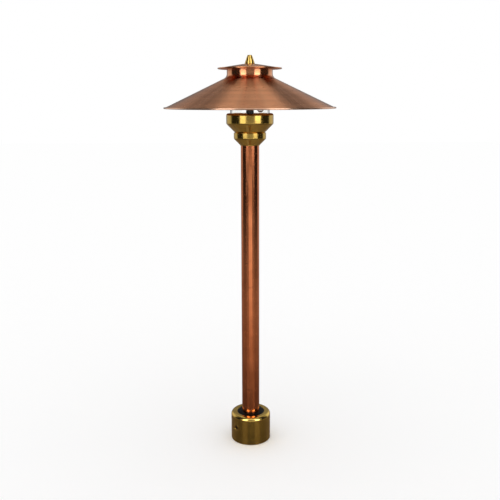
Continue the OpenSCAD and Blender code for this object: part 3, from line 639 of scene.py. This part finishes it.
def make_brass(brass):
    """The two tiers over the stem, the finial and its washer, and the spacer under the cap."""
    outline = [
        (STEM_HOLE_R, LIP_Z, 0.1), (LIP_R, LIP_Z, 0.25), (LIP_R, 379.5, 0.15), (TIER_R, 386.79, 3.0),
        (TIER_R, CUP_Z, 0.45), (14.7, CUP_Z, 0.1), (14.7, SEAL_Z, 0), (12.9, SEAL_Z, 0),
        (12.9, CUP_Z, 0.1), (TUBE_HOLE_R, CUP_Z, 0.1), (TUBE_HOLE_R, STEM_TOP, 0.1),
        (STEM_HOLE_R, STEM_TOP, 0)]
    fit(smooth(turned("lower_tier", outline, brass, corner=6)), "base", "brass", "stem_coupling")
    outline = [
        (TUBE_HOLE_R, CUP_Z, 0.1), (17.44, CUP_Z, 0.15), (18.85, 395.41, 0.1), (TIER_R, 395.01, 0.12),
        (TIER_R, 395.5, 0.2), (CUP_R, 404.35, 3.0), (CUP_R, CUP_TOP, 2.6), (WELL_R, CUP_TOP, 0.35),
        (WELL_R, LEDGE_Z, 0.2), (20.2, LEDGE_Z, 0.3), (20.2, 398.6, 0.3), (TUBE_HOLE_R, 398.6, 0.1)]
    fit(smooth(turned("upper_tier", outline, brass, corner=7)), "base", "brass", "glass_holder")
    outline = [
        (2.45, FINIAL_Z, 0.15), (6.1, FINIAL_Z, 0.3), (2.6, FINIAL_TOP, 1.0), (0, FINIAL_TOP, 0),
        (0, 480.09, 0), (2.45, 480.09, 0.1)]
    fit(smooth(turned("brass_finial", outline, brass, steps=96, corner=6)), "finial", "brass", "finial")
    outline = [
        (STUD_HOLE_R, CAP_TOP, 0.05), (5.6, CAP_TOP, 0.15), (5.6, FINIAL_Z, 0.15),
        (STUD_HOLE_R, FINIAL_Z, 0.05)]
    fit(smooth(turned("brass_washer", outline, brass, steps=96)), "washer", "brass", "finial_washer")
    outline = [
        (STUD_HOLE_R, PLATE_TOP, 0.1), (7, PLATE_TOP, 0.2), (7, CAP_UNDER, 0.2),
        (STUD_HOLE_R, CAP_UNDER, 0.1)]
    fit(smooth(turned("brass_spacer", outline, brass, steps=96)), "shade", "brass", "cap_spacer")


def cone(r, inset=0.0):
    """Height of the shade's outer face at radius r, or of a face inset under it."""
    return RIM_Z + SHEET + (CONE_FOOT_R - r) * SLOPE - inset / math.cos(math.atan(SLOPE))


def make_spun(spun):
    """The shade with its neck, bend, cone and rolled hem, and the cap over it."""
    outline = [
        (STUD_HOLE_R, PLATE_Z, 0.1), (NECK_BORE_R, PLATE_Z, 0.8),
        (NECK_BORE_R, cone(NECK_BORE_R, SHEET), 6.9), (99.4, cone(99.4, SHEET), 0.3), (99.8, RIM_Z, 0.5),
        (SHADE_R, RIM_Z, 0.9), (SHADE_R, RIM_Z + HEM_H, 0.9), (100.25, RIM_Z + HEM_H, 0.5),
        (99.6, cone(99.6), 0.3), (NECK_R, cone(NECK_R), 6.0), (NECK_R, PLATE_TOP, 0.9),
        (STUD_HOLE_R, PLATE_TOP, 0.1)]
    fit(smooth(turned("spun_shade", outline, spun, steps=256, corner=8)), "shade", "spun_copper", "shade")
    outline = [
        (STUD_HOLE_R, CAP_UNDER, 0.1), (8.5, CAP_UNDER, 4.0), (35.9, 467.65, 0.3), (36.1, 467.14, 0.5),
        (CAP_R, 467.14, 0.8), (CAP_R, 468.74, 0.8), (36.5, 468.74, 0.4), (35.8, 468.56, 0.4),
        (8.5, CAP_TOP, 4.0), (STUD_HOLE_R, CAP_TOP, 0.1)]
    fit(smooth(turned("spun_cap", outline, spun, steps=192, corner=8)), "shade", "spun_copper", "shade_cap")


def make_soft_and_clear(rubber, silicone, glass):
    """The stem's grommet, the seals, and the glass with its fire-polished ends."""
    outline = [
        (STEM_HOLE_R, RECESS_Z, 0.2), (17.35, RECESS_Z, 0.3), (17.35, 36.3, 0.5), (15.5, 37.14, 3.0),
        (13.4, 37.7, 3.0), (STEM_HOLE_R, 37.9, 0.35)]
    fit(smooth(turned("rubber_grommet", outline, rubber, corner=6)), "base", "black_rubber", "stem_grommet")
    outline = [
        (GASKET_BORE_R, LEDGE_Z, 0.3), (23.95, LEDGE_Z, 0.3), (23.95, GLASS_Z, 0.3),
        (GASKET_BORE_R, GLASS_Z, 0.3)]
    fit(smooth(turned("lower_gasket", outline, silicone)), "base", "seal_rubber", "glass_gasket")
    outline = [
        (GASKET_BORE_R, GLASS_TOP, 0.3), (23.9, GLASS_TOP, 0.3), (23.9, PLATE_Z, 0.3),
        (GASKET_BORE_R, PLATE_Z, 0.3)]
    fit(smooth(turned("top_gasket", outline, silicone)), "shade", "seal_rubber", "upper_gasket")
    outline = [
        (GLASS_BORE_R, GLASS_Z, 0.8), (GLASS_R, GLASS_Z, 0.8), (GLASS_R, GLASS_TOP, 0.8),
        (GLASS_BORE_R, GLASS_TOP, 0.8)]
    fit(smooth(turned("glass_sleeve", outline, glass, steps=192, corner=8)), "glass", "clear_glass",
        "glass_chimney")


def make_stem(copper):
    """The stem's tube."""
    outline = [
        (STEM_BORE_R, STEM_FOOT, 0.3), (STEM_R, STEM_FOOT, 0.3), (STEM_R, STEM_TOP, 0.3),
        (STEM_BORE_R, STEM_TOP, 0.3)]
    fit(smooth(turned("copper_stem", outline, copper, steps=128, corner=3)), "base", "copper", "stem_tube")


def make_stud(brass):
    """The threaded stud over the centre tube, with its plain root inside the tube."""
    thread = run_tree(drawn("stud_thread", [(0, 0, 0, 0), (0, 0, mm(1), 0)], False), THREAD, {
        "Core radius": mm(2.08), "Crest radius": mm(2.38), "Pitch": mm(0.794),
        "Length": mm(STUD_TOP - STUD_FOOT - 0.7), "Foot": mm(STUD_FOOT + 0.3), "Finish": brass})
    fit(smooth(thread, 40), "base", "brass")
    outline = [
        (0, STUD_FOOT - 7, 0), (2.95, STUD_FOOT - 7, 0.3), (2.95, STUD_FOOT, 0.2), (2.0, STUD_FOOT, 0),
        (2.0, STUD_TOP - 0.4, 0), (1.6, STUD_TOP, 0.1), (0, STUD_TOP, 0)]
    fit(smooth(turned("stud_root", outline, brass, steps=64)), "base", "brass", "top_stud")


def make_wires(sleeve, metal):
    """The two sleeved leads, each from the lamp's socket into the centre tube and down to its connector
    in the stem, and the lamp's filament with its legs."""
    for side, foot in ((1, 140.0), (-1, 112.0)):
        lead = drawn("sleeved_lead_" + ("front" if side < 0 else "back"), [
            (mm(11.4), side * mm(2.0), mm(457.74), 0), (mm(5.7), side * mm(0.72), mm(457.74), 0),
            (mm(1.5), side * mm(0.72), mm(457.74), 0), (0, side * mm(0.72), mm(455.24), 0),
            (0, side * mm(0.72), mm(foot + 22), 0), (0, side * mm(4.7), mm(foot + 8), 0),
            (0, side * mm(4.7), mm(foot - 10), 0)], False)
        lead = run_tree(lead, WIRE, {"Wire radius": mm(0.62), "Bend radius": mm(3.0), "Finish": sleeve})
        fit(smooth(lead, 60), "base", "lead_sleeve", *(["lead_wires"] if side > 0 else []))
    legs = drawn("coiled_filament", [
        (mm(LAMP_X), mm(-2.0), mm(PIN_FOOT), 0), (mm(LAMP_X), mm(-2.0), mm(COIL_Z), 0),
        (mm(LAMP_X), mm(-1.5), mm(COIL_Z - 0.45), 0)], False)
    other = legs.data.splines.new("POLY")
    other.points.add(2)
    for spot, (y, z) in zip(other.points, ((2.0, PIN_FOOT), (2.0, COIL_Z), (1.5, COIL_Z - 0.45))):
        spot.co = (mm(LAMP_X), mm(y), mm(z), 1)
    coil = run_tree(legs, COIL, {
        "Wire radius": mm(0.11), "Coil radius": mm(0.45), "Coil length": mm(3.0), "Turns": 9.0,
        "Finish": metal})
    fit(smooth(coil, 60), "lamp", "tungsten", "lamp_filament")


def dress(finishes):
    """Gives each kept CAD node its material."""
    for material, names in finishes.items():
        for name in names:
            NODES[name].data.materials.clear()
            NODES[name].data.materials.append(material)


# ---------------------------------------------------------------- studio

# The room that metal and glass mirror. Its middle is a little to the right of straight in front. Each
# zone has the degrees to either side of the middle where it begins, half the width of that soft edge,
# and its brightness in stops of (degrees above level, brightness up to BRIGHTEST).
ROOM_MIDDLE = 2.5
BRIGHTEST = 4
ROOM = [
    # In front, between the soft boxes: dim, with a bright strip of floor and a light above.
    (0, 0, [(-90, 0.3), (-60, 0.25), (-29, 0.04), (-25, 0.09), (-22.5, 0.28), (-20.5, 0.72), (-14, 1.0),
            (-9, 1.05), (-5, 0.26), (34, 0.3), (48, 0.35), (54, 1.2), (62, 1.4), (82, 1.0)]),
    # Two tall soft boxes
    (22.5, 2, [(-90, 0.3), (-60, 0.25), (-29, 0.14), (-25, 0.25), (-20, 0.45), (-14, 0.36), (-9, 0.1),
               (-5, 0.12), (-3.4, 0.5), (-2.4, 1.9), (-0.5, 2.0), (1.8, 4.0), (36, 4.0), (43, 1.8),
               (66, 1.8), (82, 1.2)]),
    # Black flags beside the boxes
    (51, 2, [(-90, 0.3), (-60, 0.25), (-29, 0.08), (-24, 0.15), (-20, 0.36), (-14, 0.22), (-9, 0.03),
             (0, 0.02), (45, 0.04), (75, 0.08), (88, 0.3)]),
    # Pale side walls
    (105, 5, [(-90, 0.3), (-60, 0.25), (-25, 0.16), (-15, 0.4), (-9, 0.55), (-1.5, 0.55), (1.5, 0.92),
              (30, 0.8), (50, 0.12), (78, 0.1), (88, 0.3)]),
    # The backdrop, with the light that falls on its upper part
    (150, 10, [(-90, 0.3), (-10, 0.3), (4, 0.24), (17, 0.25), (33, 0.3), (42, 0.62), (47, 0.9),
               (56, 0.95), (68, 0.4), (85, 0.3)]),
]


def studio():
    """White surroundings for sight and soft light. For reflections there is ROOM, a little brighter to
    the right and warmer below."""
    world = bpy.data.worlds.new("studio")
    bpy.context.scene.world = world
    world.use_nodes = True
    world.cycles.sampling_method = "NONE"
    tree = world.node_tree
    tree.nodes.clear()
    parts = add(tree, "ShaderNodeSeparateXYZ", {0: add(tree, "ShaderNodeTexCoord").outputs["Generated"]})
    ahead = add(tree, "ShaderNodeMath", {0: parts.outputs["Y"], 1: -1.0}, operation="MULTIPLY")
    turn = add(tree, "ShaderNodeMath", {0: parts.outputs["X"], 1: ahead.outputs[0]}, operation="ARCTAN2")
    azimuth = add(tree, "ShaderNodeMath", {0: turn.outputs[0], 1: math.degrees(1)}, operation="MULTIPLY")
    rise = add(tree, "ShaderNodeMath", {0: parts.outputs["Z"]}, operation="ARCSINE")
    height = add(tree, "ShaderNodeMath", {0: rise.outputs[0], 1: math.degrees(1)}, operation="MULTIPLY")
    aside = add(tree, "ShaderNodeMath", {0: azimuth.outputs[0], 1: ROOM_MIDDLE}, operation="SUBTRACT")
    side = add(tree, "ShaderNodeMath", {0: aside.outputs[0]}, operation="ABSOLUTE").outputs[0]
    level = add(tree, "ShaderNodeMapRange", {0: height.outputs[0], 1: -90, 2: 90})
    room = None
    for edge, soft, stops in ROOM:
        zone = add(tree, "ShaderNodeValToRGB", {0: level})
        marks = zone.color_ramp.elements
        while len(marks) < len(stops):
            marks.new(0.5)
        for mark, (degrees, bright) in zip(marks, stops):
            mark.position = (degrees + 90) / 180
            mark.color = [bright / BRIGHTEST] * 3 + [1]
        if room:
            share = add(tree, "ShaderNodeMapRange", {
                0: side, 1: edge - soft, 2: edge + soft}, interpolation_type="SMOOTHSTEP")
            zone = add(tree, "ShaderNodeMix", {0: share, 6: room, 7: zone}, data_type="RGBA")
        room = zone
    share = add(tree, "ShaderNodeMapRange", {0: height.outputs[0], 1: -24, 2: -10})
    warm = add(tree, "ShaderNodeMix", {0: share, 6: "#efdac8", 7: "#ffffff"}, data_type="RGBA")
    tinted = add(tree, "ShaderNodeVectorMath", {0: room, 1: warm}, operation="MULTIPLY").outputs[0]
    to_right = add(tree, "ShaderNodeMapRange", {0: azimuth.outputs[0], 1: -20, 2: 20, 3: 3.8, 4: 4.3})
    lit = add(tree, "ShaderNodeVectorMath", {0: tinted, "Scale": to_right}, operation="SCALE").outputs[0]
    path = add(tree, "ShaderNodeLightPath").outputs
    # A ray that has crossed three faces of glass or more sees white, so the sleeve's far side is clear.
    through = add(tree, "ShaderNodeMath", {0: path["Transmission Depth"], 1: 2.5}, operation="GREATER_THAN")
    mirrored = add(tree, "ShaderNodeMath", {
        0: path["Is Glossy Ray"], 1: through.outputs[0]}, operation="SUBTRACT", use_clamp=True)
    seen = add(tree, "ShaderNodeMix", {0: mirrored.outputs[0], 6: "#ffffff", 7: lit}, data_type="RGBA")
    shine = add(tree, "ShaderNodeBackground", {"Color": seen.outputs[2], "Strength": 1.0})
    add(tree, "ShaderNodeOutputWorld", {"Surface": shine.outputs[0]})


def floor():
    """A pale floor level with the hub's base, which metal doesn't mirror."""
    bpy.ops.mesh.primitive_plane_add(size=12, location=(0, 0, CAD_BOX[0].z))
    sheet = bpy.context.object
    sheet.name = "studio_floor"
    pale = new_material("pale_floor", Base_Color=paint("#fefefe"), Roughness=1.0, Specular_IOR_Level=0.0)
    sheet.data.materials.append(pale[0])
    sheet.visible_glossy = False


def camera():
    """The eye is level with the shade's lower half, 0.83 m in front of the stem, and tips down 12.5
    degrees."""
    lens = bpy.data.cameras.new("camera")
    lens.sensor_width = 36
    lens.lens = 49.51
    eye = bpy.data.objects.new("camera", lens)
    eye.location = (0.0002, -0.8301, 0.4350)
    eye.rotation_euler = (math.radians(77.48), math.radians(0.17), 0)
    bpy.context.scene.collection.objects.link(eye)
    bpy.context.scene.camera = eye


# ---------------------------------------------------------------- put together

bpy.context.scene.view_settings.view_transform = "Standard"
camera()
studio()
floor()

LATHE = lathe_tree()
THREAD = thread_tree()
WIRE = wire_tree()
COIL = coil_tree()

brass = turned_brass()
rubber = moulded_rubber()
make_hub(brass)
make_brass(brass)
make_spun(spun_copper())
make_stem(drawn_copper())
make_soft_and_clear(rubber, silicone_seal(), soda_glass())
make_stud(brass)
make_wires(glass_fibre_sleeve(), tungsten())
dress({
    # The set screw's brass is tarnished, and darkened further as painted shade for the hole it sits in.
    turned_brass("tarnished_and_shaded_brass", "#93703a", "#6e5228", 0.2): ["hub_set_screw"],
    brass: ["socket_contacts"],
    rubber: ["coupling_seal", "tube_grommet"],
    black_coat(): ["center_tube"],
    black_oxide(): ["bracket_clip"],
    zinc_plate(): ["tube_washers", "tube_lock_nuts", "lamp_bracket", "bracket_nut", "bracket_screws",
                   "lamp_pins"],
    steatite(): ["lamp_socket"],
    moulded_nylon(): ["wire_connectors"],
    soda_glass("quartz_glass", "#fdfeff", 1.46): ["lamp_capsule"],
})
